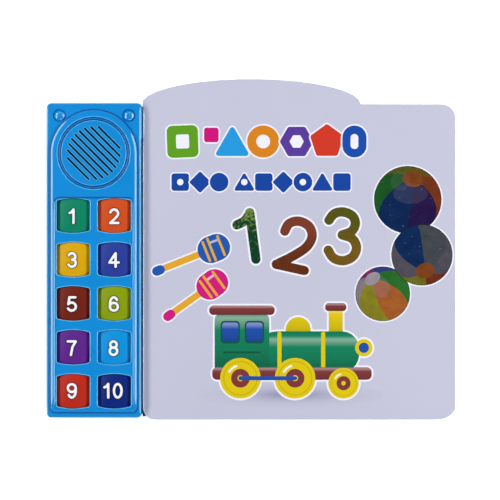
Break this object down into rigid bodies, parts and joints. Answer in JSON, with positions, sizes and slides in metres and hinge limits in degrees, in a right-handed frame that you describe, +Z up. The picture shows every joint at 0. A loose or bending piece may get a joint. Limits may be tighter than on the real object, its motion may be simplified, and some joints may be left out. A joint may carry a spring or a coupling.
{
  "type": "interactive sound book",
  "caption": "Child's board book with an arched cover that swings open beside a moulded sound module with numbered keys and a speaker grille.",
  "frame": {"origin": "middle of the footprint, on the surface the book lies on", "axes": "+X from the sound module towards the fold, +Y towards the arched head, +Z up out of the front cover"},
  "size_m": [0.2614, 0.218, 0.0218],
  "materials": {
    "back_board": "gloss laminated board",
    "leaves": "uncoated board edge",
    "cover_board": "gloss laminated pale lavender print",
    "spine_board": "gloss laminated pale lavender print",
    "case_blue": "satin gloss moulded blue plastic",
    "case_rear": "moulded blue plastic",
    "stud_blue": "polished blue plastic",
    "key_green": "moulded plastic",
    "key_orange": "moulded plastic",
    "key_yellow": "moulded plastic",
    "key_indigo": "moulded plastic",
    "key_brown": "moulded plastic",
    "key_lime": "moulded plastic",
    "key_purple": "moulded plastic",
    "key_sky": "moulded plastic",
    "key_red": "moulded plastic",
    "key_navy": "moulded plastic",
    "pad_rubber": "silicone keypad",
    "board_green": "coated circuit board",
    "chip_black": "epoxy blob",
    "speaker_steel": "pressed steel",
    "cone_film": "moulded film",
    "magnet_steel": "sintered magnet",
    "screw_steel": "zinc plated",
    "door_plastic": "moulded blue plastic",
    "cell_steel": "nickel-plated can",
    "contact_steel": "sprung strip"
  },
  "bodies": {
    "book": {"back_cover": "back_board", "page_block": "leaves", "spine": "spine_board", "front_housing": "case_blue", "rear_housing": "case_rear", "case_screw_1": "screw_steel", "case_screw_2": "screw_steel", "case_screw_3": "screw_steel", "case_screw_4": "screw_steel", "board_screw_1": "screw_steel", "board_screw_2": "screw_steel", "dome_stud_left": "stud_blue", "dome_stud_right": "stud_blue", "keypad_membrane": "pad_rubber", "circuit_board": "board_green", "sound_chip": "chip_black", "speaker_basket": "speaker_steel", "speaker_cone": "cone_film", "speaker_magnet": "magnet_steel", "battery_door": "door_plastic", "battery_door_screw": "screw_steel", "battery_cell_1": "cell_steel", "battery_cell_2": "cell_steel", "battery_cell_3": "cell_steel", "contact_start": "contact_steel", "contact_lower_bridge": "contact_steel", "contact_upper_bridge": "contact_steel", "contact_end": "contact_steel"},
    "cover": {"front_cover": "cover_board"},
    "key_1": {"button_1": "key_green"},
    "key_2": {"button_2": "key_orange"},
    "key_3": {"button_3": "key_yellow"},
    "key_4": {"button_4": "key_indigo"},
    "key_5": {"button_5": "key_brown"},
    "key_6": {"button_6": "key_lime"},
    "key_7": {"button_7": "key_purple"},
    "key_8": {"button_8": "key_sky"},
    "key_9": {"button_9": "key_red"},
    "key_10": {"button_10": "key_navy"}
  },
  "joints": [
    {"name": "cover_fold", "type": "hinge", "parent": "book", "child": "cover", "pos_m": [0.13085, 0, 0.0145], "axis": [0, 1, 0], "range_deg": [0, 180]},
    {"name": "key_1_press", "type": "slide", "parent": "book", "child": "key_1", "axis": [0, 0, -1], "range_m": [0, 0.0014], "stiffness_N_per_m": 500, "springref_m": -0.001, "deforming": ["keypad_membrane"]},
    {"name": "key_2_press", "type": "slide", "parent": "book", "child": "key_2", "axis": [0, 0, -1], "range_m": [0, 0.0014], "stiffness_N_per_m": 500, "springref_m": -0.001, "deforming": ["keypad_membrane"]},
    {"name": "key_3_press", "type": "slide", "parent": "book", "child": "key_3", "axis": [0, 0, -1], "range_m": [0, 0.0014], "stiffness_N_per_m": 500, "springref_m": -0.001, "deforming": ["keypad_membrane"]},
    {"name": "key_4_press", "type": "slide", "parent": "book", "child": "key_4", "axis": [0, 0, -1], "range_m": [0, 0.0014], "stiffness_N_per_m": 500, "springref_m": -0.001, "deforming": ["keypad_membrane"]},
    {"name": "key_5_press", "type": "slide", "parent": "book", "child": "key_5", "axis": [0, 0, -1], "range_m": [0, 0.0014], "stiffness_N_per_m": 500, "springref_m": -0.001, "deforming": ["keypad_membrane"]},
    {"name": "key_6_press", "type": "slide", "parent": "book", "child": "key_6", "axis": [0, 0, -1], "range_m": [0, 0.0014], "stiffness_N_per_m": 500, "springref_m": -0.001, "deforming": ["keypad_membrane"]},
    {"name": "key_7_press", "type": "slide", "parent": "book", "child": "key_7", "axis": [0, 0, -1], "range_m": [0, 0.0014], "stiffness_N_per_m": 500, "springref_m": -0.001, "deforming": ["keypad_membrane"]},
    {"name": "key_8_press", "type": "slide", "parent": "book", "child": "key_8", "axis": [0, 0, -1], "range_m": [0, 0.0014], "stiffness_N_per_m": 500, "springref_m": -0.001, "deforming": ["keypad_membrane"]},
    {"name": "key_9_press", "type": "slide", "parent": "book", "child": "key_9", "axis": [0, 0, -1], "range_m": [0, 0.0014], "stiffness_N_per_m": 500, "springref_m": -0.001, "deforming": ["keypad_membrane"]},
    {"name": "key_10_press", "type": "slide", "parent": "book", "child": "key_10", "axis": [0, 0, -1], "range_m": [0, 0.0014], "stiffness_N_per_m": 500, "springref_m": -0.001, "deforming": ["keypad_membrane"]}
  ]
}
